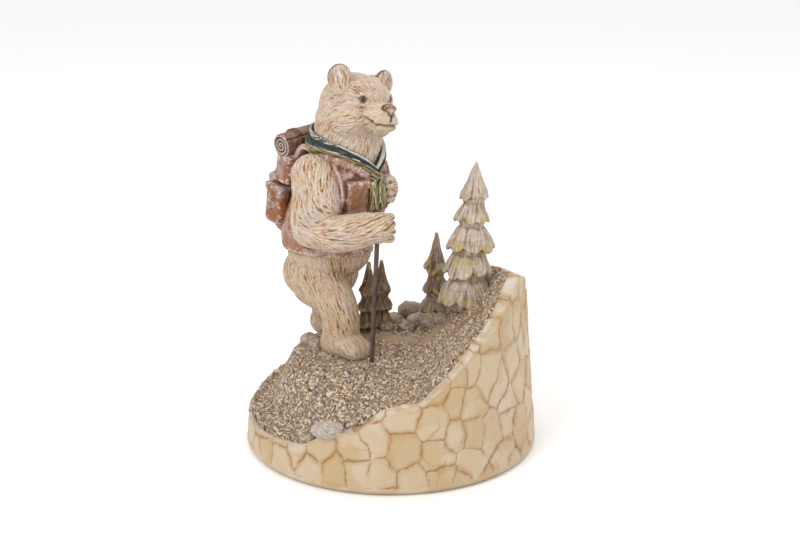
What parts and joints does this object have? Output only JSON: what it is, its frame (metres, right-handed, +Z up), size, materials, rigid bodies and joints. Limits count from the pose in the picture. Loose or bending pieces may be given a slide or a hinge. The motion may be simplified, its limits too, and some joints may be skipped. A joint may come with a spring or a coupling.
{
  "type": "resin bear sculpture",
  "caption": "Carved-look resin bear hiker with pack, vest, neckerchief and thin metal staff, walking up a hewn mound with small fir trees.",
  "frame": {"origin": "centre of the mound's round underside", "axes": "+Z up, +X towards the high side of the mound, +Y away from the viewer; the bear faces halfway between +X and -Y"},
  "size_m": [0.1896, 0.1896, 0.2463],
  "materials": {
    "painted_resin": "cast resin painted like carved wood: cream and tan with an ochre wash in the grooves and pale dry brushing on the ridges",
    "staff_metal": "thin metal rod, dark brown satin paint"
  },
  "bodies": {
    "root": {"bear_on_mound": "painted_resin", "walking_staff": "staff_metal"}
  },
  "joints": []
}
